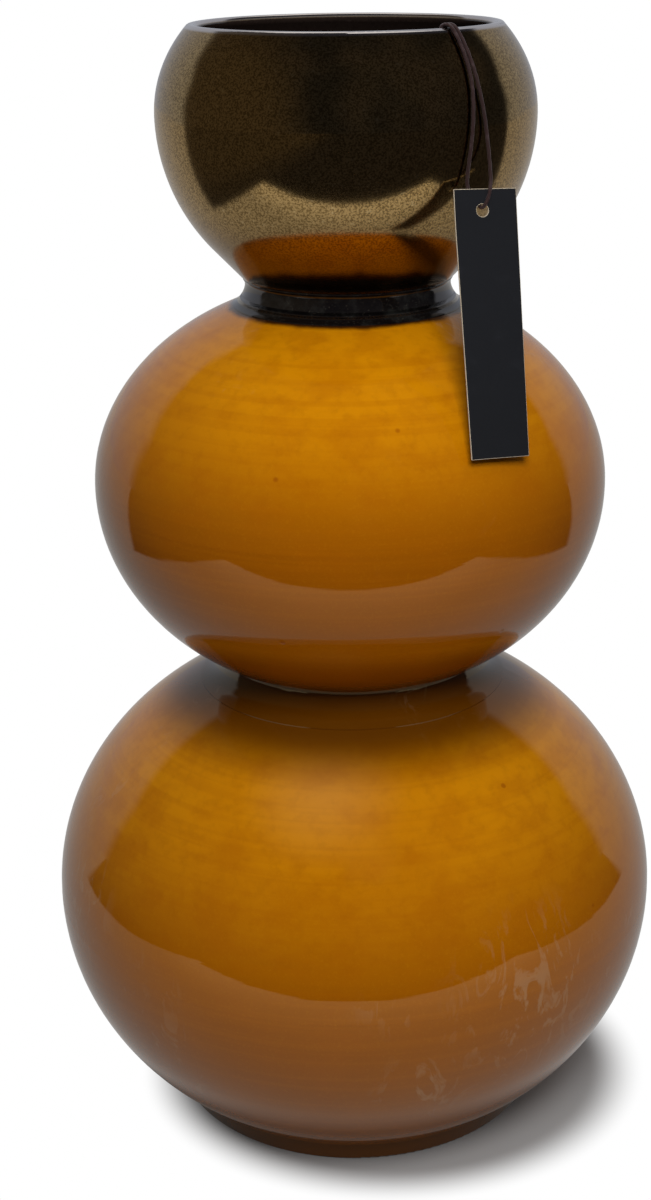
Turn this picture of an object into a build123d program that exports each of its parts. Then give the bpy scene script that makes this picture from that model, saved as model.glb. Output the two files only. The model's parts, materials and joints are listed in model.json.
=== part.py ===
"""Stacked gourd vase: three thrown lobes luted together, with a card tag hung over the rim.

Millimetres, +Z up. The origin is on the vase's axis, in the plane that the foot ring stands on,
and the photographed front faces -Y. Azimuths are counted from the front towards +X.
"""

import os
from math import atan2, cos, degrees, hypot, pi, radians, sin, sqrt, tan

from build123d import *

os.makedirs("parts", exist_ok=True)

# Foot ring, which widens upwards, and floor
foot_radius = 87.0
foot_flare = 4.0
foot_width = 14.0
foot_height = 11.5
foot_edge_rounding = 1.6
base_overhang = 1.2
base_edge_rounding = 1.0
floor_thickness = 9.0
floor_corner_radius = 12.0

# Lower globe: belly radius, and the half heights of its two half ellipses
lower_radius = 140.0
lower_drop = 123.1
lower_rise = 118.2

# Middle globe
middle_radius = 113.5
middle_drop = 94.9
middle_rise = 87.6

# Top bowl, whose ellipse runs out below into a straight cone from the stated radius
bowl_radius = 80.3
bowl_drop = 80.0
bowl_cone_radius = 58.0
bowl_rise = 62.5
rim_above_belly = 36.5
rim_width = 7.2
rim_rounding = 2.2

# Walls
globe_wall = 6.0
bowl_wall = 4.0

# Necks: the collars that join the lobes
lower_neck_radius = 60.6
lower_neck_bore = 52.0
lower_collar_foot = 70.0
lower_collar_height = 11.8
upper_neck_radius = 45.4
upper_neck_bore = 38.0
upper_collar_foot = 50.0
upper_collar_height = 11.1
collar_foot_slope = 25.0

# Luted seams: a scored vee ring in each, bedded in slip
slip_thickness = 0.5
vee_depth = 1.2
vee_half_width = 1.4

# Card tag
tag_width = 26.5
tag_length = 105.7
tag_thickness = 0.8
tag_hole_radius = 2.5
tag_hole_from_top = 8.4
tag_hole_off_centre = 1.5
tag_hole_azimuth = 38.1
tag_hole_from_belly = 5.7
tag_hole_below_belly = 31.4
tag_turn = 19.0
tag_rest_gap = 0.8

# Waxed cord of the tag, with the putty that holds its ends inside the bowl
cord_diameter = 1.5
putty_thickness = 2.6
putty_height = 11.0
putty_below_rim = 20.5
putty_angle = 11.0
putty_azimuth = 39.45

# The cord outside the bowl, from the rim down behind the tag, through its hole and up in front:
# azimuth in degrees, distance from the axis, height above the rim
cord_loop = [
    (38.6, 63.4, 1.25),
    (38.6, 66.1, 1.25),
    (38.6, 71.4, -5.15),
    (38.6, 76.0, -12.65),
    (38.3, 79.2, -20.25),
    (37.5, 81.4, -29.85),
    (36.8, 81.9, -39.85),
    (36.1, 81.2, -49.85),
    (35.8, 79.9, -59.95),
    (38.55, 84.25, -67.30),
    (37.85, 87.4, -66.45),
    (39.6, 87.4, -62.85),
    (41.0, 86.3, -57.05),
    (42.2, 83.6, -49.35),
    (42.2, 82.0, -39.55),
    (41.2, 81.4, -29.85),
    (40.5, 79.2, -20.25),
    (40.3, 76.0, -12.65),
    (40.3, 71.4, -5.15),
    (40.3, 66.1, 1.25),
    (40.3, 63.4, 1.25),
]

# Each cord end inside the bowl, from the rim's top to the putty:
# distance from the axis, height above the rim
cord_end = [
    (63.4, 1.25),
    (60.2, 1.25),
    (59.9, -3.25),
    (62.6, -7.45),
    (67.0, -14.05),
    (72.1, -21.25),
    (74.4, -29.35),
]
cord_end_azimuths = [38.6, 40.3]

# Share of the shorter run beside a cord's corner that its arc takes
corner_run_share = 0.45

# Leans of the tag, in degrees, between which its rest is looked for, and how closely
lean_least = -5.0
lean_most = 50.0
lean_tolerance = 0.001

# Direction of the front, in degrees from +X
front_direction = -90.0


def ellipse_height(radius, belly_radius, half_height):
    """Height above or below the belly at which a half ellipse has the given radius."""
    return half_height * sqrt(1 - (radius / belly_radius) ** 2)


def ellipse_radius(height, belly_radius, half_height):
    """Radius of a half ellipse at the given height from its belly."""
    return belly_radius * sqrt(1 - (height / half_height) ** 2)


# The bowl's cone, tangent to its ellipse: depth of its start, loss of radius with depth, and depth of its end
cone_start_depth = ellipse_height(bowl_cone_radius, bowl_radius, bowl_drop)
cone_slope = (bowl_radius / bowl_drop) ** 2 * cone_start_depth / bowl_cone_radius
cone_end_depth = cone_start_depth + (bowl_cone_radius - upper_neck_radius) / cone_slope

# Heights of the sections, stacked from the foot, with a bed of slip in every seam
foot_top_radius = foot_radius + foot_flare
foot_inner_radius = foot_radius - foot_width
base_seat_radius = foot_top_radius + base_overhang
base_bottom = foot_height + slip_thickness
lower_belly = base_bottom + ellipse_height(base_seat_radius, lower_radius, lower_drop)
lower_shoulder_bottom = lower_belly + slip_thickness
lower_shoulder_top = lower_shoulder_bottom + ellipse_height(lower_collar_foot, lower_radius, lower_rise)
lower_collar_bottom = lower_shoulder_top + slip_thickness
lower_collar_top = lower_collar_bottom + lower_collar_height
middle_bottom = lower_collar_top + slip_thickness
middle_belly = middle_bottom + ellipse_height(lower_neck_radius, middle_radius, middle_drop)
middle_shoulder_bottom = middle_belly + slip_thickness
middle_shoulder_top = middle_shoulder_bottom + ellipse_height(upper_collar_foot, middle_radius, middle_rise)
upper_collar_bottom = middle_shoulder_top + slip_thickness
upper_collar_top = upper_collar_bottom + upper_collar_height
bowl_bottom = upper_collar_top + slip_thickness
bowl_belly = bowl_bottom + cone_end_depth
cone_top = bowl_belly - cone_start_depth
rim_height = bowl_belly + rim_above_belly

# The bowl's inside narrows to leave a lip of the stated width
rim_radius = ellipse_radius(rim_above_belly, bowl_radius, bowl_rise)
bowl_inner_radius = bowl_radius - bowl_wall
rim_inner_radius = rim_radius - rim_width
bowl_inner_rise = rim_above_belly / sqrt(1 - (rim_inner_radius / bowl_inner_radius) ** 2)


def seat_inner(bore, height, inner_radius, inner_half_height):
    """Inner radius of a wall where it meets a neck, at this height from its belly."""
    if height >= inner_half_height:
        return bore
    return max(bore, ellipse_radius(height, inner_radius, inner_half_height))


# Middle radius of the vee in each seam, half way across the narrower of the two faces there
foot_vee = (foot_inner_radius + foot_top_radius) / 2
lower_belly_vee = lower_radius - globe_wall / 2
lower_shoulder_inner = seat_inner(
    lower_neck_bore, lower_shoulder_top - lower_shoulder_bottom,
    lower_radius - globe_wall, lower_rise - globe_wall,
)
lower_shoulder_vee = (lower_shoulder_inner + lower_collar_foot) / 2
lower_collar_inner = seat_inner(
    lower_neck_bore, middle_belly - middle_bottom, middle_radius - globe_wall, middle_drop - globe_wall
)
lower_collar_vee = (lower_collar_inner + lower_neck_radius) / 2
middle_belly_vee = middle_radius - globe_wall / 2
middle_shoulder_inner = seat_inner(
    upper_neck_bore, middle_shoulder_top - middle_shoulder_bottom,
    middle_radius - globe_wall, middle_rise - globe_wall,
)
middle_shoulder_vee = (middle_shoulder_inner + upper_collar_foot) / 2
bowl_inner = seat_inner(
    upper_neck_bore, bowl_belly - bowl_bottom, bowl_radius - bowl_wall, bowl_drop - bowl_wall
)
bowl_vee = (bowl_inner + upper_neck_radius) / 2


def half_plane_band(radius, low, high, mode=Mode.ADD):
    """Rectangle beside the axis, from height low to height high."""
    with Locations((0, low)):
        Rectangle(radius, high - low, align=(Align.MIN, Align.MIN), mode=mode)


def vee(mid_radius, height, mode):
    """Section of the vee ring that hangs below a seam at this height."""
    Polygon(
        (mid_radius - vee_half_width, height),
        (mid_radius, height - vee_depth),
        (mid_radius + vee_half_width, height),
        align=None,
        mode=mode,
    )


def upright_ellipse(radius, half_height):
    """Ellipse of this radius and half height; a tall one is drawn lying and turned upright."""
    if half_height > radius:
        Ellipse(half_height, radius, rotation=-90)
    else:
        Ellipse(radius, half_height)


def half_globe(radius, half_height, belly, low, high, mode=Mode.ADD):
    """Right half of an ellipse about the axis, kept between two heights."""
    with BuildSketch(mode=Mode.PRIVATE) as lobe:
        with Locations((0, belly)):
            upright_ellipse(radius, half_height)
        half_plane_band(radius, low, high, Mode.INTERSECT)
    add(lobe.sketch, mode=mode)


def export(part, label):
    """Label a finished piece and write it to its own file."""
    part.label = label
    export_step(part, f"parts/{label}.step")


# Foot ring, with its standing edges rounded and the first vee groove in its top
with BuildPart() as foot_ring:
    with BuildSketch(Plane.XZ) as foot_profile:
        Polygon(
            (foot_inner_radius, 0),
            (foot_radius, 0),
            (foot_top_radius, foot_height),
            (foot_inner_radius, foot_height),
            align=None,
        )
        fillet(foot_profile.vertices().group_by(Axis.Y)[0], foot_edge_rounding)
        vee(foot_vee, foot_height, Mode.SUBTRACT)
    revolve(axis=Axis.Z)
export(foot_ring.part, "foot_ring")

# Lower half of the lower globe, with the floor
with BuildPart() as lower_globe_base:
    with BuildSketch(mode=Mode.PRIVATE) as lower_well:
        floor_top = base_bottom + floor_thickness
        half_globe(lower_radius - globe_wall, lower_drop - globe_wall, lower_belly, floor_top, lower_belly)
        fillet(lower_well.vertices().group_by(Axis.Y)[0].sort_by(Axis.X)[-1], floor_corner_radius)
    with BuildSketch(Plane.XZ) as base_profile:
        half_globe(lower_radius, lower_drop, lower_belly, base_bottom, lower_belly)
        fillet(base_profile.vertices().group_by(Axis.Y)[0].sort_by(Axis.X)[-1], base_edge_rounding)
        add(lower_well.sketch, mode=Mode.SUBTRACT)
        vee(foot_vee, base_bottom, Mode.ADD)
        vee(lower_belly_vee, lower_belly, Mode.SUBTRACT)
    revolve(axis=Axis.Z)
export(lower_globe_base.part, "lower_globe_base")


def globe_section(radius, half_height, belly, low, high, bore):
    """Section of a globe's wall between two heights, opened by a neck's bore."""
    half_globe(radius, half_height, belly, low, high)
    half_globe(radius - globe_wall, half_height - globe_wall, belly, low, high, Mode.SUBTRACT)
    half_plane_band(bore, low, high, Mode.SUBTRACT)


# Upper half of the lower globe
with BuildPart() as lower_globe_shoulder:
    with BuildSketch(Plane.XZ):
        globe_section(
            lower_radius, lower_rise, lower_shoulder_bottom,
            lower_shoulder_bottom, lower_shoulder_top, lower_neck_bore,
        )
        vee(lower_belly_vee, lower_shoulder_bottom, Mode.ADD)
        vee(lower_shoulder_vee, lower_shoulder_top, Mode.SUBTRACT)
    revolve(axis=Axis.Z)
export(lower_globe_shoulder.part, "lower_globe_shoulder")


def collar_profile(neck_radius, bore, foot, low, high, top_slope=0.0):
    """Section of a neck collar: it goes on down from the lobe above, then flares onto the shoulder below."""
    foot_direction = (cos(radians(collar_foot_slope)), -sin(radians(collar_foot_slope)))
    with BuildLine() as outline:
        Spline((neck_radius, high), (foot, low), tangents=[(-top_slope, -1), foot_direction])
        Polyline((foot, low), (bore, low), (bore, high), (neck_radius, high))
    make_face(outline.edges())


# Collar between the lower and the middle globe
with BuildPart() as lower_collar:
    with BuildSketch(Plane.XZ):
        collar_profile(
            lower_neck_radius, lower_neck_bore, lower_collar_foot, lower_collar_bottom, lower_collar_top
        )
        vee(lower_shoulder_vee, lower_collar_bottom, Mode.ADD)
        vee(lower_collar_vee, lower_collar_top, Mode.SUBTRACT)
    revolve(axis=Axis.Z)
export(lower_collar.part, "lower_collar")

# Lower half of the middle globe
with BuildPart() as middle_globe_base:
    with BuildSketch(Plane.XZ):
        globe_section(
            middle_radius, middle_drop, middle_belly, middle_bottom, middle_belly, lower_neck_bore
        )
        vee(lower_collar_vee, middle_bottom, Mode.ADD)
        vee(middle_belly_vee, middle_belly, Mode.SUBTRACT)
    revolve(axis=Axis.Z)
export(middle_globe_base.part, "middle_globe_base")

# Upper half of the middle globe
with BuildPart() as middle_globe_shoulder:
    with BuildSketch(Plane.XZ):
        globe_section(
            middle_radius, middle_rise, middle_shoulder_bottom,
            middle_shoulder_bottom, middle_shoulder_top, upper_neck_bore,
        )
        vee(middle_belly_vee, middle_shoulder_bottom, Mode.ADD)
        vee(middle_shoulder_vee, middle_shoulder_top, Mode.SUBTRACT)
    revolve(axis=Axis.Z)
export(middle_globe_shoulder.part, "middle_globe_shoulder")

# Collar between the middle globe and the bowl
with BuildPart() as upper_collar:
    with BuildSketch(Plane.XZ):
        collar_profile(
            upper_neck_radius, upper_neck_bore, upper_collar_foot, upper_collar_bottom, upper_collar_top,
            cone_slope,
        )
        vee(middle_shoulder_vee, upper_collar_bottom, Mode.ADD)
        vee(bowl_vee, upper_collar_top, Mode.SUBTRACT)
    revolve(axis=Axis.Z)
export(upper_collar.part, "upper_collar")

# Top bowl, open at the rim and through the neck
with BuildPart() as top_bowl:
    with BuildSketch(Plane.XZ) as bowl_profile:
        Polygon(
            (0, bowl_bottom),
            (upper_neck_radius, bowl_bottom),
            (bowl_cone_radius, cone_top),
            (0, cone_top),
            align=None,
        )
        half_globe(bowl_radius, bowl_drop, bowl_belly, cone_top, bowl_belly)
        half_globe(bowl_radius, bowl_rise, bowl_belly, bowl_belly, rim_height)
        half_globe(
            bowl_inner_radius, bowl_drop - bowl_wall, bowl_belly, bowl_bottom, bowl_belly, Mode.SUBTRACT
        )
        half_globe(
            bowl_inner_radius, bowl_inner_rise, bowl_belly, bowl_belly, rim_height, Mode.SUBTRACT
        )
        half_plane_band(upper_neck_bore, bowl_bottom, bowl_belly, Mode.SUBTRACT)
        fillet(bowl_profile.vertices().group_by(Axis.Y)[-1], rim_rounding)
        vee(bowl_vee, bowl_bottom, Mode.ADD)
    revolve(axis=Axis.Z)
export(top_bowl.part, "top_bowl")

# Fired slip in each seam: name, inner radius, outer radius, middle of the vee, height of the seam
seams = [
    ("foot_slip", foot_inner_radius, foot_top_radius, foot_vee, foot_height),
    ("lower_belly_slip", lower_radius - globe_wall, lower_radius, lower_belly_vee, lower_belly),
    ("lower_shoulder_slip", lower_neck_bore, lower_collar_foot, lower_shoulder_vee, lower_shoulder_top),
    ("lower_collar_slip", lower_neck_bore, lower_neck_radius, lower_collar_vee, lower_collar_top),
    ("middle_belly_slip", middle_radius - globe_wall, middle_radius, middle_belly_vee, middle_belly),
    ("middle_shoulder_slip", upper_neck_bore, upper_collar_foot, middle_shoulder_vee, middle_shoulder_top),
    ("bowl_slip", upper_neck_bore, upper_neck_radius, bowl_vee, upper_collar_top),
]
for seam_name, seam_inner, seam_outer, seam_vee, seam_height in seams:
    with BuildPart() as slip_ring:
        with BuildSketch(Plane.XZ):
            half_plane_band(seam_outer, seam_height, seam_height + slip_thickness)
            half_plane_band(seam_inner, seam_height, seam_height + slip_thickness, Mode.SUBTRACT)
            vee(seam_vee, seam_height, Mode.ADD)
            vee(seam_vee, seam_height + slip_thickness, Mode.SUBTRACT)
        revolve(axis=Axis.Z)
    export(slip_ring.part, seam_name)


def around(azimuth, radius, height):
    """Point at an azimuth, a distance from the axis and a height."""
    return Vector(radius * sin(radians(azimuth)), -radius * cos(radians(azimuth)), height)


# The tag hangs from its hole, square under its own weight, and leans on the middle globe
tag_hole = around(tag_hole_azimuth, bowl_radius + tag_hole_from_belly, bowl_belly - tag_hole_below_belly)
tag_roll = atan2(tag_hole_off_centre, tag_length / 2 - tag_hole_from_top)


def tag_plane(lean):
    """Plane of the tag about its hole, for a lean in radians: x to the right, y up the card."""
    across = Vector(cos(radians(tag_turn)), sin(radians(tag_turn)), 0)
    outward = Vector(sin(radians(tag_turn)), -cos(radians(tag_turn)), 0)
    down = outward * sin(lean) - Vector(0, 0, 1) * cos(lean)
    facing = outward * cos(lean) + Vector(0, 0, 1) * sin(lean)
    return Plane(tag_hole, x_dir=across * cos(tag_roll) + down * sin(tag_roll), z_dir=facing)


def tag_gap(lean):
    """Gap between the middle globe and the back of the tag's lower left corner."""
    left = tag_hole_off_centre - tag_width / 2
    corner = tag_plane(lean).from_local_coords(
        (left, tag_hole_from_top - tag_length, -tag_thickness / 2)
    )
    globe = ellipse_radius(corner.Z - middle_shoulder_bottom, middle_radius, middle_rise)
    return hypot(corner.X, corner.Y) - globe


# Halve the range of lean until the corner stands off the globe by the rest gap
lean_low = radians(lean_least)
lean_high = radians(lean_most)
while lean_high - lean_low > radians(lean_tolerance):
    lean = (lean_low + lean_high) / 2
    if tag_gap(lean) < tag_rest_gap:
        lean_low = lean
    else:
        lean_high = lean
hung_plane = tag_plane(lean_high)

# Card tag, punched near its top
with BuildPart() as tag_card:
    with BuildSketch(hung_plane):
        with Locations((tag_hole_off_centre, tag_hole_from_top - tag_length / 2)):
            Rectangle(tag_width, tag_length)
        Circle(tag_hole_radius, mode=Mode.SUBTRACT)
    extrude(amount=tag_thickness / 2, both=True)
export(tag_card.part, "tag_card")


def corner_radii(points):
    """Largest arcs that the runs beside each corner leave room for."""
    radii = []
    for before, corner, after in zip(points, points[1:], points[2:]):
        turn = (corner - before).get_angle(after - corner)
        shorter_run = min((corner - before).length, (after - corner).length)
        radii.append(corner_run_share * shorter_run / tan(radians(turn / 2)))
    return radii


def cord_tube(points):
    """Sweep the cord's round section along straight runs joined by tangent arcs."""
    radii = corner_radii(points)
    with BuildLine() as path:
        FilletPolyline(points, radius=radii)
    with BuildSketch(Plane(path.line @ 0, z_dir=path.line % 0)) as section:
        Circle(cord_diameter / 2)
    sweep(section.sketch, path=path.line)
    print("cord radii", [round(radius, 1) for radius in radii])
    return sum(edge.length for edge in path.edges())


def report_volume(name, part, length):
    """Compare a tube's volume with its section times its length."""
    print(name, "length", round(length, 1), "volume", part.volume, pi * cord_diameter**2 / 4 * length)


def above_rim(azimuth, radius, height):
    """Point of the cord, at a height counted from the rim."""
    return around(azimuth, radius, rim_height + height)


# Cord outside the bowl
with BuildPart() as tag_cord:
    loop_length = cord_tube([above_rim(*point) for point in cord_loop])
report_volume("cord loop", tag_cord.part, loop_length)
export(tag_cord.part, "tag_cord")

# The cord's two ends, over the rim and down inside the bowl
with BuildPart() as tag_cord_ends:
    ends_length = 0
    for azimuth in cord_end_azimuths:
        ends_length += cord_tube([above_rim(azimuth, *point) for point in cord_end])
report_volume("cord ends", tag_cord_ends.part, ends_length)
export(tag_cord_ends.part, "tag_cord_ends")

# Putty pressed on the bowl's inner wall over the cord's ends
putty_high = rim_height - putty_below_rim
with BuildPart() as cord_putty:
    with BuildSketch(Plane.XZ.rotated((0, 0, front_direction + putty_azimuth - putty_angle / 2))):
        half_globe(
            bowl_inner_radius, bowl_inner_rise, bowl_belly, putty_high - putty_height, putty_high
        )
        half_globe(
            bowl_inner_radius - putty_thickness, bowl_inner_rise, bowl_belly,
            putty_high - putty_height, putty_high, Mode.SUBTRACT,
        )
    revolve(axis=Axis.Z, revolution_arc=putty_angle)
    add(tag_cord_ends.part, mode=Mode.SUBTRACT)
export(cord_putty.part, "cord_putty")

# Places that the joints use
hinge_height = rim_height + cord_loop[0][2] + cord_diameter
print("tag hinge", around(putty_azimuth, cord_loop[0][1], hinge_height))
print("tag hole", tag_hole, "tag normal", hung_plane.z_dir, "lean", degrees(lean_high))
print("heights", [round(value, 2) for value in (
    base_bottom, lower_belly, lower_shoulder_top, lower_collar_top, middle_belly,
    middle_shoulder_top, upper_collar_top, bowl_bottom, bowl_belly, rim_height,
)])
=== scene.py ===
"""Looks of the stacked gourd vase: glazes, waxed cord, card tag, stage, light and camera.

Metres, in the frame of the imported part: +Z up, the vase's axis at the origin, the front facing -Y.
"""

import json
from math import atan2, cos, pi, radians, sin, sqrt, tan

import bmesh
import bpy
from mathutils import Matrix, Quaternion, Vector
from mathutils import noise as value_noise


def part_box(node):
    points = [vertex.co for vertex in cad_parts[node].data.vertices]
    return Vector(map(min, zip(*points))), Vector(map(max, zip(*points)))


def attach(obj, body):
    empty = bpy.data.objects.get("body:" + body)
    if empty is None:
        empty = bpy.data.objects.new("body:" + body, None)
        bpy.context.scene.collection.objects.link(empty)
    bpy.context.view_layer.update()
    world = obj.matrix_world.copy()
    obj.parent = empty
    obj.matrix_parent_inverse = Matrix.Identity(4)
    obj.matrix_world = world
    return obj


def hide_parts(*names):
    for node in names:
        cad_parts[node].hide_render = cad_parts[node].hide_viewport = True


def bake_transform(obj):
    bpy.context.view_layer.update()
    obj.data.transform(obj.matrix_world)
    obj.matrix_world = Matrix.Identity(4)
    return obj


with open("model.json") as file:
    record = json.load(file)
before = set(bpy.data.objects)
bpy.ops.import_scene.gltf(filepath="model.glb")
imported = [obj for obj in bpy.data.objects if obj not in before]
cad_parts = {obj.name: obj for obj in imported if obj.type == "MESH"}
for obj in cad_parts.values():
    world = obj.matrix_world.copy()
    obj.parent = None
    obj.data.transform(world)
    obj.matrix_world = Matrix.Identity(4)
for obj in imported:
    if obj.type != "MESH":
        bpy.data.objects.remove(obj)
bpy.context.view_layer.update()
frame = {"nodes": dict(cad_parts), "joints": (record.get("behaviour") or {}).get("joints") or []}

MM = 0.001

# Camera, fitted to the outline in the photograph: angles in degrees, lens in millimetres
camera_place = Vector((0.0, -0.82854, 0.54459))
camera_pitch = 20.073
camera_roll = 0.644
camera_lens = 57.63
camera_shift = -0.02157

# Soft light from above: its level on a surface that faces it, its direction and its spread in degrees
key_level = 0.26
key_elevation = 80.0
key_azimuth = 8.0
key_spread = 70.0

# Softboxes in front and behind: their powers in watts, their places, and the aim and size of both
softbox_power = 5.9
softbox_place = Vector((0.10, -0.80, 0.90))
back_power = 3.6
back_place = Vector((-0.10, 0.80, 0.80))
softbox_aim = Vector((0.0, 0.0, 0.25))
softbox_size = 0.36

# Shadow on the floor, a painted grey patch that also takes the lamps' real shadow: the most of the floor's
# white that it takes, its middle, its width over its depth, and how far from its middle it begins to fade
# and ends
shadow_share = 0.98
shadow_middle = (0.018, -0.006, 0.0)
shadow_wide = 1.10
shadow_full = 0.088
shadow_end = 0.114

# Floor: its side, and how far it lies below the foot
floor_size = 12.0
floor_drop = 0.1 * MM

# Table in reflections: its front, half its width, its edges' softness and its back edge's slope sideways
table_front = -0.47
table_half_width = 0.60
table_edge = 0.02
table_back_slope = 0.36

# Heights that the glazes follow
foot_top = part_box("foot_ring")[1].z
neck_height = sum(corner.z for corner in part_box("lower_collar")) / 2
collar_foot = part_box("upper_collar")[0].z
bowl_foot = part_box("top_bowl")[0].z
rim_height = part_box("top_bowl")[1].z

# Marks on the amber glaze: a painted reflection of a lamp as a pale patch on the lower shoulder, and rubbed
# places with their reach
lamp_glare_place = (-0.012, -0.094, 0.192)
lamp_glare_reach = 0.040
rubbed_places = [
    ((0.076, -0.117, 0.100), 0.055),
    ((0.029, -0.130, 0.066), 0.030),
    ((-0.120, -0.064, 0.122), 0.034),
]

# Cord: its points as in the part, by azimuth from the front in degrees, and by distance from the axis and
# height above the rim in millimetres. Each end has one azimuth, and the loop's bend has a start and an end
cord_diameter = 1.5 * MM
cord_loop = [
    (38.6, 63.4, 1.25),
    (38.6, 66.1, 1.25),
    (38.6, 71.4, -5.15),
    (38.6, 76.0, -12.65),
    (38.3, 79.2, -20.25),
    (37.5, 81.4, -29.85),
    (36.8, 81.9, -39.85),
    (36.1, 81.2, -49.85),
    (35.8, 79.9, -59.95),
    (38.55, 84.25, -67.30),
    (37.85, 87.4, -66.45),
    (39.6, 87.4, -62.85),
    (41.0, 86.3, -57.05),
    (42.2, 83.6, -49.35),
    (42.2, 82.0, -39.55),
    (41.2, 81.4, -29.85),
    (40.5, 79.2, -20.25),
    (40.3, 76.0, -12.65),
    (40.3, 71.4, -5.15),
    (40.3, 66.1, 1.25),
    (40.3, 63.4, 1.25),
]
cord_end = [
    (63.4, 1.25),
    (60.2, 1.25),
    (59.9, -3.25),
    (62.6, -7.45),
    (67.0, -14.05),
    (72.1, -21.25),
    (74.4, -29.35),
]
cord_end_azimuths = {"left": 38.6, "right": 40.3}
cord_azimuth = sum(cord_end_azimuths.values()) / len(cord_end_azimuths)

# Cord's plies: how many, the distance between valleys along it, their share of its radius, its mesh's sides
cord_plies = 3
cord_lay = 5.5 * MM
cord_valley = 0.10
cord_sides = 18

# Card tag, as in the part, with the photograph's twist in degrees below the share of it that stays flat
tag_width = 26.5 * MM
tag_length = 105.7 * MM
tag_thickness = 0.8 * MM
tag_hole_radius = 2.5 * MM
tag_hole_from_top = 8.4 * MM
tag_hole_off_centre = 1.5 * MM
tag_twist = 9.0
tag_flat_share = 0.15
tag_edge_rounding = 0.22 * MM

# Card's grid: half the square round its hole, and the steps to the square, over it and beyond it
tag_pad = 5.5 * MM
tag_column_steps = [3, 6, 4]
tag_row_steps = [2, 6, 30]

# Putty pad: its box, half its angle at the axis in degrees, its margin inside the box, its gap to the wall,
# its greatest thickness, the dents' share of that, how square it is, where 2 is round, and its mesh's steps
putty_low, putty_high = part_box("cord_putty")
putty_half_angle = 5.2
putty_margin = 0.3 * MM
putty_gap = 0.1 * MM
putty_thickest = 2.4 * MM
putty_dents = 0.14
putty_squareness = 2.4
putty_columns = 36
putty_rows = 30

# Ellipse of the bowl's inside above its belly, as in the part: its radius, its middle's height and its rise
bowl_inner_radius = 76.3 * MM
bowl_belly_height = 460.22 * MM
bowl_inner_rise = 56.16 * MM


def around(azimuth, radius, height):
    """Point by azimuth in degrees, and by distance from the axis and height above the rim in millimetres."""
    angle = radians(azimuth)
    return Vector((radius * MM * sin(angle), -radius * MM * cos(angle), rim_height + height * MM))


def link(data, name):
    """Object for this data, in the scene."""
    piece = bpy.data.objects.new(name, data)
    bpy.context.scene.collection.objects.link(piece)
    return piece


def finished(mesh, name):
    """Mesh data made from a bmesh, which is then freed."""
    data = bpy.data.meshes.new(name)
    mesh.to_mesh(data)
    mesh.free()
    return data


def pairs(ring):
    """Each item of a ring with the one that follows it."""
    return list(zip(ring, ring[1:] + ring[:1]))


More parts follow.
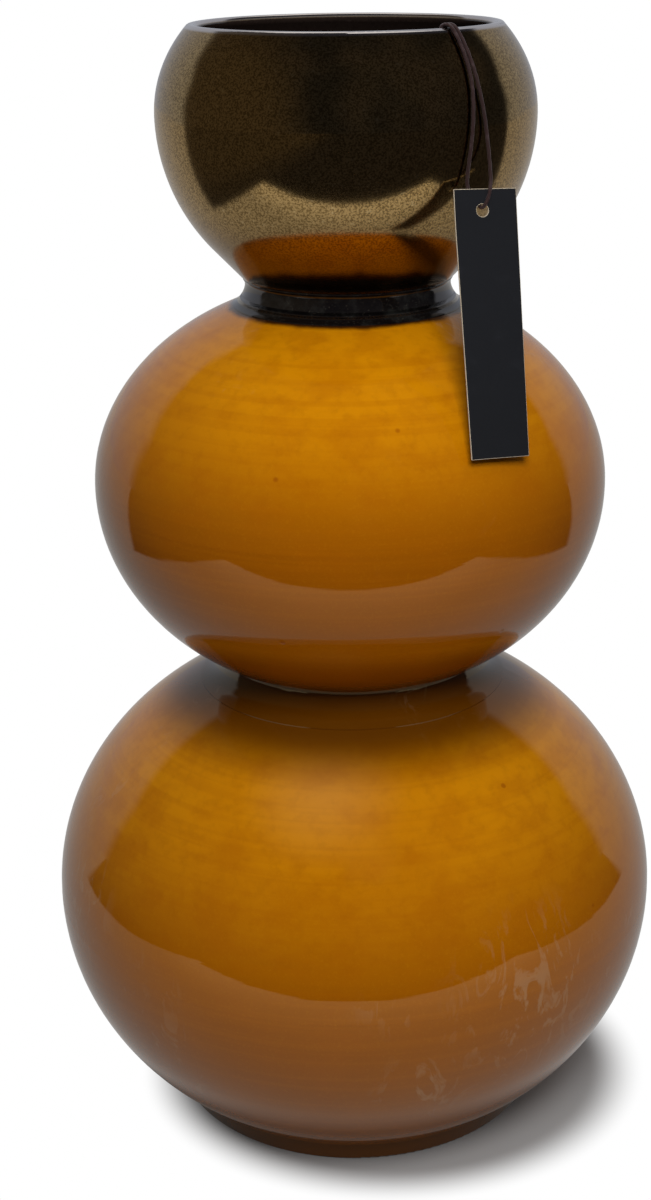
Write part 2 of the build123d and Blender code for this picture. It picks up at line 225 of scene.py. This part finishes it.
class Graph:
    """Node tree of a material or of the world, with short calls for the nodes that the finishes use."""

    def __init__(self, tree):
        self.tree = tree
        tree.nodes.clear()

    def add(self, kind, sockets=None, **settings):
        """New node with these settings, and with values or links on its sockets."""
        node = self.tree.nodes.new(kind)
        for name, value in settings.items():
            setattr(node, name, value)
        for key, value in (sockets or {}).items():
            self.put(node.inputs[key], value)
        return node

    def put(self, socket, value):
        """Link an output to a socket, or set the socket's own value."""
        if isinstance(value, bpy.types.NodeSocket):
            self.tree.links.new(value, socket)
        else:
            socket.default_value = value

    def math(self, operation, *values):
        """Result of an operation on one to three values."""
        return self.add("ShaderNodeMath", dict(enumerate(values)), operation=operation).outputs[0]

    def times(self, first, second):
        """Product of two values."""
        return self.math("MULTIPLY", first, second)

    def vector(self, operation, *values):
        """Outputs of an operation on vectors, Vector and Value."""
        return self.add("ShaderNodeVectorMath", dict(enumerate(values)), operation=operation).outputs

    def split(self, vector):
        """The three parts of a vector or of a colour."""
        return self.add("ShaderNodeSeparateXYZ", {0: vector}).outputs

    def span(self, value, low, high, to_low=0.0, to_high=1.0):
        """Value carried smoothly from one range to another, held at its ends."""
        sockets = dict(enumerate((value, low, high, to_low, to_high)))
        node = self.add("ShaderNodeMapRange", sockets, interpolation_type="SMOOTHSTEP", clamp=True)
        return node.outputs[0]

    def mix(self, share, first, second):
        """Colour between two colours."""
        return self.add("ShaderNodeMix", {0: share, 6: first, 7: second}, data_type="RGBA").outputs[2]

    def layers(self, colour, stains):
        """Colour with each stain laid over it in turn; a stain is a share and a colour."""
        for share, stain in stains:
            colour = self.mix(share, colour, stain)
        return colour

    def place(self):
        """Coordinates of the piece, in metres."""
        return self.add("ShaderNodeTexCoord").outputs["Object"]

    def stretch(self, place, scale):
        """Coordinates scaled by a different amount along each axis."""
        return self.add("ShaderNodeMapping", {"Vector": place, "Scale": scale}).outputs[0]

    def facing(self):
        """Direction that the surface faces."""
        return self.add("ShaderNodeNewGeometry").outputs["Normal"]

    def inward(self, place):
        """1 where the surface faces the vase's axis, 0 where it faces out."""
        level = self.vector("MULTIPLY", place, (1, 1, 0))["Vector"]
        outward = self.vector("DOT_PRODUCT", level, self.facing())["Value"]
        return self.math("LESS_THAN", outward, 0.0)

    def near(self, place, centre, reach):
        """1 at a point of the piece, fading to 0 at this distance from it."""
        apart = self.vector("DISTANCE", place, centre)["Value"]
        return self.span(apart, 0.0, reach, 1.0, 0.0)

    def noise(self, place, scale, detail=2.0, roughness=0.5, distortion=0.0):
        """Soft noise between 0 and 1."""
        sockets = {
            "Vector": place, "Scale": scale, "Detail": detail,
            "Roughness": roughness, "Distortion": distortion,
        }
        return self.add("ShaderNodeTexNoise", sockets).outputs["Fac"]

    def bump(self, height, strength, distance, over=None, sunk=False):
        """Normal bent by a height, raised or sunk, on top of another bump where one is given."""
        sockets = {"Height": height, "Strength": strength, "Distance": distance}
        if over is not None:
            sockets["Normal"] = over
        return self.add("ShaderNodeBump", sockets, invert=sunk).outputs[0]

    def diffuse(self, colour):
        """Matt shader."""
        return self.add("ShaderNodeBsdfDiffuse", {"Color": colour}).outputs[0]

    def glow(self, colour):
        """Shader that shows its colour in any light."""
        return self.add("ShaderNodeEmission", {"Color": colour, "Strength": 1.0}).outputs[0]

    def either(self, share, first, second):
        """Shader between two shaders."""
        return self.add("ShaderNodeMixShader", {0: share, 1: first, 2: second}).outputs[0]

    def principled(self, sockets):
        """Finish the material with one surface shader."""
        shader = self.add("ShaderNodeBsdfPrincipled", sockets)
        self.add("ShaderNodeOutputMaterial", {"Surface": shader.outputs[0]})


def material(name):
    """New material and its empty graph."""
    made = bpy.data.materials.new(name)
    made.use_nodes = True
    return made, Graph(made.node_tree)


def amber_tone(graph, place, drift, cloud):
    """Amber glaze colour, drifting and streaked; facing down it is darker and redder, partly hanging glaze
    and partly painted shade.
    """
    deep = (0.40, 0.108, 0.0004, 1)
    bright = (0.73, 0.272, 0.0013, 1)
    z = graph.split(place)[2]
    upward = graph.split(graph.facing())[2]
    mottle = graph.noise(place, 190.0, 4.0, 0.6)
    lines = graph.noise(graph.stretch(place, (5, 5, 420)), 1.0, 2.0)
    grain = graph.noise(place, 900.0, 2.0)
    lamp_glare = graph.near(place, lamp_glare_place, lamp_glare_reach)
    middle_globe = graph.span(z, 0.20, 0.22)
    # Lighter facing up, darker and redder facing down: partly glaze that hangs thicker, partly painted shade
    colour = graph.mix(graph.span(upward, -0.15, 0.85), deep, bright)
    return graph.layers(colour, [
        # Painted shade: the middle globe darker on its lower half
        (graph.times(graph.span(z, 0.29, 0.36, 0.50, 0.0), middle_globe), deep),
        (graph.span(z, 0.10, 0.20, 0.20, 0.0), (0.40, 0.098, 0.0004, 1)),
        (graph.span(drift, 0.40, 0.66, 0.0, 0.28), (0.48, 0.135, 0.0005, 1)),
        (graph.span(cloud, 0.44, 0.66, 0.0, 0.32), (0.45, 0.118, 0.0004, 1)),
        (graph.span(mottle, 0.45, 0.72, 0.0, 0.22), (0.40, 0.112, 0.0004, 1)),
        (graph.span(lines, 0.45, 0.66, 0.0, 0.26), (0.50, 0.145, 0.0005, 1)),
        (graph.span(grain, 0.5, 0.8, 0.0, 0.10), (0.74, 0.33, 0.012, 1)),
        # Painted reflection of a lamp: a pale patch on the lower shoulder
        (graph.times(lamp_glare, 0.22), (0.78, 0.40, 0.13, 1)),
    ])


def amber_specks(graph, place):
    """1 on small iron specks, which only some cells of the surface have."""
    cells = graph.add("ShaderNodeTexVoronoi", {"Vector": place, "Scale": 46.0, "Randomness": 1.0}).outputs
    chosen = graph.span(graph.split(cells["Color"])[0], 0.62, 0.66)
    dot = graph.span(cells["Distance"], 0.030, 0.075, 1.0, 0.0)
    return graph.times(chosen, dot)


def amber_scuffs(graph, place):
    """1 on dull scuffs, most of them at the rubbed places."""
    scratch = graph.noise(graph.stretch(place, (84, 84, 40)), 1.0, 4.0, 0.62, 1.6)
    worn = graph.span(graph.noise(place, 15.0, 2.0), 0.60, 0.72, 0.0, 0.5)
    for centre, reach in rubbed_places:
        worn = graph.math("MAXIMUM", worn, graph.near(place, centre, reach))
    return graph.times(graph.span(scratch, 0.52, 0.63), worn)


def amber_glaze():
    """Thick amber glaze over pale clay, pooled at the foot, with painted shade round the lower neck, burnt
    at its top edge.
    """
    made, graph = material("amber_glaze")
    place = graph.place()
    z = graph.split(place)[2]
    drift = graph.noise(graph.stretch(place, (1, 1, 0.6)), 13.0, 3.0)
    cloud = graph.noise(graph.stretch(place, (1, 1, 1.8)), 46.0, 3.0, 0.6)
    specks = amber_specks(graph, place)
    scuffs = amber_scuffs(graph, place)
    from_neck = graph.math("ABSOLUTE", graph.math("SUBTRACT", z, neck_height))
    uneven_height = graph.math("MULTIPLY_ADD", cloud, 1.6 * MM, z)
    colour = graph.layers(amber_tone(graph, place, drift, cloud), [
        (graph.times(specks, 0.55), (0.30, 0.052, 0.0004, 1)),
        (graph.span(z, foot_top - 2.5 * MM, foot_top + 1.5 * MM, 0.88, 0.0), (0.13, 0.036, 0.0006, 1)),
        # Painted shade round the lower neck, under the middle globe's overhang
        (graph.span(from_neck, 7 * MM, 25 * MM, 0.95, 0.0), (0.12, 0.034, 0.0005, 1)),
        (graph.span(uneven_height, collar_foot, collar_foot + 1.3 * MM), (0.045, 0.012, 0.001, 1)),
        (graph.inward(place), (0.035, 0.018, 0.008, 1)),
        (graph.times(scuffs, 0.40), (0.60, 0.38, 0.22, 1)),
    ])
    throwing_rings = graph.noise(graph.stretch(place, (2, 2, 160)), 1.0, 3.0, 0.6)
    waves = graph.bump(throwing_rings, 0.10, 0.35 * MM)
    graph.principled({
        "Base Color": colour,
        "Roughness": graph.math("MULTIPLY_ADD", scuffs, 0.16, graph.span(drift, 0.3, 0.7, 0.02, 0.045)),
        "Normal": graph.bump(specks, 0.25, 0.2 * MM, over=waves, sunk=True),
        "IOR": 1.58,
        "Specular Tint": (1.0, 0.84, 0.50, 1),
    })
    return made


def bronze_glaze():
    """Mirror-like bronze lustre with a sandy speckle, pale on the lip from worn glaze and a painted
    highlight, and dark brown inside the bowl.
    """
    made, graph = material("bronze_glaze")
    place = graph.place()
    z = graph.split(place)[2]
    cloud = graph.noise(graph.stretch(place, (1, 1, 0.6)), 16.0, 3.0)
    sand = graph.noise(place, 1300.0, 2.0, 0.65)
    fleck = graph.noise(place, 560.0, 2.0, 0.6)
    lip = graph.span(z, rim_height - 1.9 * MM, rim_height - 0.9 * MM)
    inside = graph.times(graph.inward(place), graph.math("SUBTRACT", 1.0, lip))
    inside_colour = graph.mix(fleck, (0.014, 0.009, 0.007, 1), (0.030, 0.020, 0.016, 1))
    lustre = graph.mix(cloud, (0.40, 0.265, 0.105, 1), (0.50, 0.340, 0.150, 1))
    colour = graph.layers(lustre, [
        (graph.span(sand, 0.42, 0.60, 0.0, 0.80), (0.14, 0.085, 0.028, 1)),
        (graph.span(fleck, 0.60, 0.75, 0.0, 0.5), (0.64, 0.48, 0.25, 1)),
        (graph.span(z, bowl_foot + 11.4 * MM, bowl_foot + 39.4 * MM, 0.75, 0.0), (0.15, 0.090, 0.040, 1)),
        # Pale lip: worn glaze and a painted highlight
        (lip, (0.66, 0.60, 0.56, 1)),
        (inside, inside_colour),
    ])
    graph.principled({
        "Base Color": colour,
        "Metallic": graph.math("SUBTRACT", 1.0, inside),
        "Roughness": graph.math("MULTIPLY_ADD", sand, 0.10, graph.span(cloud, 0.3, 0.7, 0.04, 0.10)),
        "Normal": graph.bump(sand, 0.16, 0.06 * MM),
        "IOR": 1.5,
    })
    return made


def neck_glaze():
    """Black gloss where the two glazes ran together, with a grey bloom and a thick roll near its foot."""
    made, graph = material("neck_glaze")
    place = graph.place()
    bloom = graph.noise(place, 130.0, 4.0, 0.6)
    sand = graph.noise(place, 1100.0, 2.0, 0.6)
    black = graph.mix(graph.span(bloom, 0.45, 0.75), (0.005, 0.004, 0.004, 1), (0.022, 0.022, 0.020, 1))
    roll_height = collar_foot + 4 * MM
    from_roll = graph.math("ABSOLUTE", graph.math("SUBTRACT", graph.split(place)[2], roll_height))
    roll = graph.span(from_roll, 0.0, 1.4 * MM, 1.0, 0.0)
    graph.principled({
        "Base Color": graph.mix(graph.span(sand, 0.60, 0.75, 0.0, 0.6), black, (0.05, 0.045, 0.035, 1)),
        "Roughness": graph.span(bloom, 0.3, 0.7, 0.05, 0.09),
        "Normal": graph.bump(roll, 1.0, 2.2 * MM, over=graph.bump(sand, 0.08, 0.05 * MM)),
        "IOR": 1.7,
        "Specular Tint": (1.0, 0.93, 0.88, 1),
    })
    return made


def card_face():
    """Black card with a fine paper tooth, rubbed grey in places."""
    made, graph = material("black_card")
    place = graph.place()
    tooth = graph.noise(place, 2600.0, 3.0, 0.7)
    rub = graph.noise(place, 120.0, 4.0, 0.6)
    black = graph.mix(tooth, (0.011, 0.0115, 0.014, 1), (0.021, 0.022, 0.025, 1))
    graph.principled({
        "Base Color": graph.mix(graph.span(rub, 0.55, 0.8, 0.0, 0.35), black, (0.024, 0.025, 0.030, 1)),
        "Roughness": graph.span(rub, 0.3, 0.7, 0.42, 0.55),
        "Normal": graph.bump(tooth, 0.25, 0.04 * MM),
        "IOR": 1.45,
    })
    return made


def card_core():
    """Cream board that shows on the card's cut edges."""
    made, graph = material("card_core")
    fibre = graph.noise(graph.place(), 1800.0, 3.0, 0.6)
    graph.principled({
        "Base Color": graph.mix(fibre, (0.52, 0.42, 0.30, 1), (0.74, 0.64, 0.50, 1)),
        "Roughness": 0.8,
        "Normal": graph.bump(fibre, 0.4, 0.05 * MM),
    })
    return made


def waxed_cord():
    """Dark brown waxed cotton: a soft sheen on the plies and worn wax in places."""
    made, graph = material("brown_cord")
    place = graph.place()
    fibre = graph.noise(place, 2600.0, 3.0, 0.65)
    wax = graph.noise(place, 260.0, 2.0)
    brown = graph.mix(fibre, (0.020, 0.011, 0.010, 1), (0.060, 0.034, 0.033, 1))
    graph.principled({
        "Base Color": graph.mix(graph.span(wax, 0.55, 0.75, 0.0, 0.4), brown, (0.10, 0.068, 0.070, 1)),
        "Roughness": graph.span(wax, 0.3, 0.7, 0.34, 0.52),
        "Normal": graph.bump(fibre, 0.5, 0.05 * MM),
        "Sheen Weight": 0.25,
        "Sheen Roughness": 0.4,
        "Sheen Tint": (0.55, 0.42, 0.46, 1),
    })
    return made


def pressed_putty():
    """Pale adhesive putty, dulled by handling."""
    made, graph = material("putty")
    smear = graph.noise(graph.place(), 420.0, 4.0, 0.6)
    graph.principled({
        "Base Color": graph.mix(smear, (0.60, 0.57, 0.50, 1), (0.76, 0.74, 0.68, 1)),
        "Roughness": 0.62,
        "Normal": graph.bump(smear, 0.3, 0.2 * MM),
        "Subsurface Weight": 0.1,
        "Subsurface Scale": 1 * MM,
    })
    return made


def spline_points(name, controls):
    """Points of the NURBS spline that has these control points, read from an unbevelled curve."""
    curve = bpy.data.curves.new(name, "CURVE")
    curve.dimensions = "3D"
    curve.resolution_u = 24
    spline = curve.splines.new("NURBS")
    spline.points.add(len(controls) - 1)
    for point, control in zip(spline.points, controls):
        point.co = (*control, 1.0)
    spline.order_u = 3
    spline.use_endpoint_u = True
    holder = bpy.data.objects.new(name, curve)
    mesh = bpy.data.meshes.new_from_object(holder)
    points = [vertex.co.copy() for vertex in mesh.vertices]
    bpy.data.objects.remove(holder)
    bpy.data.meshes.remove(mesh)
    bpy.data.curves.remove(curve)
    return points


def sideways_along(points):
    """A steady pair of sideways axes at each point of a line, carried along it without twist."""
    directions = []
    for index in range(len(points)):
        before = points[max(index - 1, 0)]
        after = points[min(index + 1, len(points) - 1)]
        directions.append((after - before).normalized())
    side = directions[0].orthogonal().normalized()
    axes = []
    for before, direction in zip([directions[0], *directions], directions):
        side = before.rotation_difference(direction) @ side
        side = (side - direction * side.dot(direction)).normalized()
        axes.append((side, direction.cross(side)))
    return axes


def cord_mesh(name, points):
    """Closed tube along the points, with the shallow valleys of the plies laid round each other."""
    radius = cord_diameter / 2
    mesh = bmesh.new()
    rings = []
    travelled = 0.0
    for index, (point, (side, other)) in enumerate(zip(points, sideways_along(points))):
        if index:
            travelled += (point - points[index - 1]).length
        ring = []
        for step in range(cord_sides):
            angle = 2 * pi * step / cord_sides
            turned = cord_plies * angle / 2 + pi * travelled / cord_lay
            reach = radius * (1 - cord_valley * sin(turned) ** 2)
            ring.append(mesh.verts.new(point + reach * (cos(angle) * side + sin(angle) * other)))
        rings.append(ring)
    for near, far in zip(rings, rings[1:]):
        for (near_here, near_next), (far_here, far_next) in zip(pairs(near), pairs(far)):
            mesh.faces.new((near_here, near_next, far_next, far_here)).smooth = True
    mesh.faces.new(list(reversed(rings[0])))
    mesh.faces.new(rings[-1])
    return finished(mesh, name)


def make_cords(finish):
    """The loop that carries the tag, and the two ends inside the bowl."""
    loop_points = spline_points("tag_string", [around(*point) for point in cord_loop])
    loop = link(cord_mesh("tag_string", loop_points), "tag_string")
    loop.data.materials.append(finish)
    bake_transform(loop)
    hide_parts("tag_cord")
    for side, azimuth in cord_end_azimuths.items():
        name = f"string_end_{side}"
        points = spline_points(name, [around(azimuth, *point) for point in cord_end])
        piece = link(cord_mesh(name, points), name)
        piece.data.materials.append(finish)
        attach(piece, "vase")
        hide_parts("tag_cord_ends")


def divide(stops, steps):
    """Values from the first stop to the last, with each stretch between stops divided evenly."""
    values = [stops[0]]
    for low, high, count in zip(stops, stops[1:], steps):
        values += [low + (high - low) * (step + 1) / count for step in range(count)]
    return values


def round_grid(first, last):
    """Grid positions round a rectangle of the grid, from its first corner to its last and back."""
    (left, top), (right, bottom) = first, last
    positions = [(i, top) for i in range(left, right)]
    positions += [(right, j) for j in range(top, bottom)]
    positions += [(i, bottom) for i in range(right, left, -1)]
    positions += [(left, j) for j in range(bottom, top, -1)]
    return positions


def card_axes():
    """The hole's centre, and the directions across the card, up it and out of its face."""
    swing = next(joint for joint in frame["joints"] if joint["name"] == "tag_swing")
    normal = Vector(swing["axis"]).normalized()
    level = Vector((-normal.y, normal.x, 0)).normalized()
    roll = atan2(tag_hole_off_centre, tag_length / 2 - tag_hole_from_top)
    across = Quaternion(normal, -roll) @ level
    return Vector(swing["pos_m"]), across, normal.cross(across), normal


def card_mesh(name):
    """Closed mesh of the punched card, with the second material on its cut edges."""
    hole, across, upward, normal = card_axes()
    left = tag_hole_off_centre - tag_width / 2
    right = left + tag_width
    top = tag_hole_from_top
    columns = divide([left, -tag_pad, tag_pad, right], tag_column_steps)
    rows = divide([top, tag_pad, -tag_pad, top - tag_length], tag_row_steps)
    first_i, last_i = tag_column_steps[0], sum(tag_column_steps[:2])
    first_j, last_j = tag_row_steps[0], sum(tag_row_steps[:2])
    border = round_grid((first_i, first_j), (last_i, last_j))
    outline = round_grid((0, 0), (len(columns) - 1, len(rows) - 1))

    def place(u, v, depth):
        """Point of the card, flat at its hole and twisted outwards below; u is across, v is up."""
        along = max((top - v) / tag_length - tag_flat_share, 0) / (1 - tag_flat_share)
        lift = (right - u) * tan(radians(tag_twist) * along)
        return hole + across * u + upward * v + normal * (depth + lift)

    mesh = bmesh.new()
    layers = []
    for depth in (tag_thickness / 2, -tag_thickness / 2):
        grid = {}
        for i, u in enumerate(columns):
            for j, v in enumerate(rows):
                if not (first_i < i < last_i and first_j < j < last_j):
                    grid[i, j] = mesh.verts.new(place(u, v, depth))
        rim = []
        for i, j in border:
            direction = Vector((columns[i], rows[j])).normalized() * tag_hole_radius
            rim.append(mesh.verts.new(place(direction.x, direction.y, depth)))
        for i in range(len(columns) - 1):
            for j in range(len(rows) - 1):
                if not (first_i <= i < last_i and first_j <= j < last_j):
                    mesh.faces.new((grid[i, j], grid[i, j + 1], grid[i + 1, j + 1], grid[i + 1, j]))
        for (here, following), (rim_here, rim_next) in zip(pairs(border), pairs(rim)):
            mesh.faces.new((grid[here], grid[following], rim_next, rim_here))
        layers.append((grid, rim))
    (front, front_rim), (back, back_rim) = layers
    walls = [(front[here], front[after], back[after], back[here]) for here, after in pairs(outline)]
    for (front_here, front_next), (back_here, back_next) in zip(pairs(front_rim), pairs(back_rim)):
        walls.append((front_here, back_here, back_next, front_next))
    for corners in walls:
        mesh.faces.new(corners).material_index = 1
    bmesh.ops.recalc_face_normals(mesh, faces=mesh.faces)
    return finished(mesh, name)


def make_tag(face, core):
    """Punched card with a slight twist, its cut edges rounded and left in the cream core."""
    piece = link(card_mesh("tag_hang_card"), "tag_hang_card")
    piece.data.materials.append(face)
    piece.data.materials.append(core)
    rounding = piece.modifiers.new("rounding", "BEVEL")
    rounding.width = tag_edge_rounding
    rounding.segments = 2
    rounding.material = 1
    rounding.limit_method = "ANGLE"
    rounding.angle_limit = radians(50)
    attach(piece, "tag_card")
    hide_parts("tag_card")


def putty_point(u, v, on_wall):
    """Point of the pad's domed and dented face, or of its face on the wall; u and v run from -1 to 1."""
    half_height = (putty_high.z - putty_low.z) / 2 - putty_margin
    wide = u * sqrt(1 - v * v / putty_squareness)
    tall = v * sqrt(1 - u * u / putty_squareness)
    azimuth = radians(cord_azimuth + putty_half_angle * wide)
    height = (putty_high.z + putty_low.z) / 2 + half_height * tall
    wall = bowl_inner_radius * sqrt(1 - ((height - bowl_belly_height) / bowl_inner_rise) ** 2)
    radius = wall - putty_gap
    if not on_wall:
        dome = sqrt((1 - u**6) * (1 - v**6))
        dent = value_noise.noise(Vector((u * 1.7, v * 1.4, 4.0)))
        radius -= putty_thickest * dome * (1 - putty_dents + putty_dents * dent)
    return radius * sin(azimuth), -radius * cos(azimuth), height


def make_putty(finish):
    """Pad of putty pressed over the cord's ends."""
    mesh = bmesh.new()
    for on_wall in (False, True):
        sheet = {}
        for i in range(putty_columns + 1):
            for j in range(putty_rows + 1):
                point = putty_point(2 * i / putty_columns - 1, 2 * j / putty_rows - 1, on_wall)
                sheet[i, j] = mesh.verts.new(point)
        for i in range(putty_columns):
            for j in range(putty_rows):
                corners = (sheet[i, j], sheet[i, j + 1], sheet[i + 1, j + 1], sheet[i + 1, j])
                mesh.faces.new(corners).smooth = True
    bmesh.ops.remove_doubles(mesh, verts=mesh.verts, dist=0.01 * MM)
    bmesh.ops.recalc_face_normals(mesh, faces=mesh.faces)
    piece = link(finished(mesh, "putty_pad"), "putty_pad")
    piece.data.materials.append(finish)
    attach(piece, "vase")
    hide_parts("cord_putty")


def dress(nodes, finish):
    """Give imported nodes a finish."""
    for name in nodes:
        slots = frame["nodes"][name].data.materials
        slots.clear()
        slots.append(finish)


def mirrored_table(graph):
    """Colour the floor gives off in reflections: a pale table in a dim room, with painted shadow towards the
    vase, darkest close to the foot.
    """
    place = graph.place()
    x, y, _ = graph.split(place)
    sideways = graph.math("ABSOLUTE", x)
    past_front = graph.span(y, table_front, table_front + table_edge)
    within = graph.span(sideways, table_half_width, table_half_width + 2 * table_edge, 1.0, 0.0)
    behind = graph.span(graph.math("MULTIPLY_ADD", sideways, -table_back_slope, y), -0.03, 0.03)
    table = graph.math("MAXIMUM", graph.times(past_front, within), behind)
    # Painted shadow: the table darker towards the vase
    pale = graph.mix(graph.span(y, -0.45, -0.20), (0.72, 0.70, 0.66, 1), (0.44, 0.43, 0.42, 1))
    warm = graph.span(x, -1.2, -0.4, 0.8, 0.0)
    dim = graph.mix(warm, (0.030, 0.028, 0.030, 1), (0.080, 0.066, 0.048, 1))
    from_axis = graph.vector("LENGTH", place)["Value"]
    return graph.layers(dim, [
        (table, pale),
        # Painted shadow close to the foot
        (graph.span(from_axis, 0.098, 0.125, 0.80, 0.0), (0.02, 0.012, 0.006, 1)),
    ])


def floor_shadow(graph):
    """Share of the floor's white that the painted grey patch takes; the patch also shows the lamps' real
    shadow.
    """
    offset = graph.vector("SUBTRACT", graph.place(), shadow_middle)["Vector"]
    apart = graph.vector("LENGTH", graph.stretch(offset, (1 / shadow_wide, 1, 1)))["Value"]
    return graph.span(apart, shadow_full, shadow_end, shadow_share, 0.0)


def make_floor():
    """Floor: white to the camera with a painted grey patch and real shadow round the foot, a table in
    reflections, and a weak bounce of the lamps.
    """
    bpy.ops.mesh.primitive_plane_add(size=floor_size, location=(0, 0, -floor_drop))
    floor = bpy.context.object
    floor.name = "floor"
    made, graph = material("pale_floor")
    path = graph.add("ShaderNodeLightPath").outputs
    sideways = graph.math("ABSOLUTE", graph.split(graph.place())[0])
    bounce = graph.mix(graph.span(sideways, 0.10, 0.45), (0.36, 0.35, 0.33, 1), (0.07, 0.068, 0.064, 1))
    unseen = graph.either(path["Is Glossy Ray"], graph.diffuse(bounce), graph.glow(mirrored_table(graph)))
    # Painted shade: grey floor round the foot, which also takes the lamps' real shadow
    shaded = graph.diffuse((0.45, 0.45, 0.45, 1))
    seen = graph.either(floor_shadow(graph), graph.glow((1, 1, 1, 1)), shaded)
    surface = graph.either(path["Is Camera Ray"], unseen, seen)
    graph.add("ShaderNodeOutputMaterial", {"Surface": surface})
    floor.data.materials.append(made)


def make_world():
    """World: white to the camera, and in reflections a dim room, pale walls behind and a lit ceiling."""
    world = bpy.data.worlds.new("studio")
    world.use_nodes = True
    bpy.context.scene.world = world
    graph = Graph(world.node_tree)
    direction = graph.add("ShaderNodeTexCoord").outputs["Generated"]
    wide, depth, rise = graph.split(direction)
    patches = graph.noise(graph.stretch(direction, (1, 1, 0.4)), 2.2, 1.0)
    room = graph.mix(graph.span(patches, 0.35, 0.70), (0.022, 0.023, 0.029, 1), (0.042, 0.040, 0.044, 1))
    overhead = graph.math("MAXIMUM", graph.math("SUBTRACT", rise, 0.3), 0.0)
    walls = graph.span(graph.math("MULTIPLY_ADD", overhead, -0.6, depth), 0.30, 0.42)
    ceiling = graph.times(graph.span(rise, 0.60, 0.76), graph.span(depth, 0.20, 0.30))
    ceiling = graph.times(ceiling, graph.span(graph.math("ABSOLUTE", wide), 0.25, 0.40, 1.0, 0.0))
    mirrored = graph.layers(room, [
        (graph.span(wide, -0.85, -0.25, 0.9, 0.0), (0.090, 0.074, 0.054, 1)),
        (walls, (0.38, 0.40, 0.45, 1)),
        (ceiling, (0.90, 0.90, 0.90, 1)),
    ])
    path = graph.add("ShaderNodeLightPath").outputs
    shown = graph.layers((0.035, 0.035, 0.035, 1), [
        (path["Is Glossy Ray"], mirrored),
        (path["Is Camera Ray"], (1.0, 1.0, 1.0, 1)),
    ])
    background = graph.add("ShaderNodeBackground", {"Color": shown, "Strength": 1.0})
    graph.add("ShaderNodeOutputWorld", {"Surface": background.outputs[0]})


def make_lights():
    """Soft light from above and a softbox in front and behind, all kept out of the reflections."""
    lamp = bpy.data.lights.new("soft_key", "SUN")
    lamp.energy = key_level * pi
    lamp.angle = radians(key_spread)
    key = link(lamp, "soft_key")
    rise = radians(key_elevation)
    turn = radians(key_azimuth)
    towards = Vector((sin(turn) * cos(rise), -cos(turn) * cos(rise), sin(rise)))
    key.rotation_euler = towards.to_track_quat("Z", "Y").to_euler()
    key.visible_glossy = False
    boxes = {"softbox": (softbox_place, softbox_power), "back_softbox": (back_place, back_power)}
    for name, (place, power) in boxes.items():
        lamp = bpy.data.lights.new(name, "AREA")
        lamp.energy = power
        lamp.size = softbox_size
        box = link(lamp, name)
        box.location = place
        box.rotation_euler = (place - softbox_aim).to_track_quat("Z", "Y").to_euler()
        box.visible_glossy = False
        box.visible_camera = False


def make_camera():
    """Camera at the photograph's place and angle."""
    lens = bpy.data.cameras.new("camera")
    lens.lens = camera_lens
    lens.shift_x = camera_shift
    camera = link(lens, "camera")
    pitch = Matrix.Rotation(radians(90 - camera_pitch), 4, "X")
    roll = Matrix.Rotation(radians(-camera_roll), 4, "Z")
    camera.matrix_world = Matrix.Translation(camera_place) @ pitch @ roll
    bpy.context.scene.camera = camera


make_camera()
make_floor()
make_world()
make_lights()

amber_nodes = [
    "foot_ring", "foot_slip", "lower_globe_base", "lower_belly_slip", "lower_globe_shoulder",
    "lower_shoulder_slip", "lower_collar", "lower_collar_slip", "middle_globe_base",
    "middle_belly_slip", "middle_globe_shoulder",
]
dress(amber_nodes, amber_glaze())
dress(["middle_shoulder_slip", "upper_collar", "bowl_slip"], neck_glaze())
dress(["top_bowl"], bronze_glaze())

make_tag(card_face(), card_core())
make_cords(waxed_cord())
make_putty(pressed_putty())

bpy.context.scene.view_settings.view_transform = "Standard"
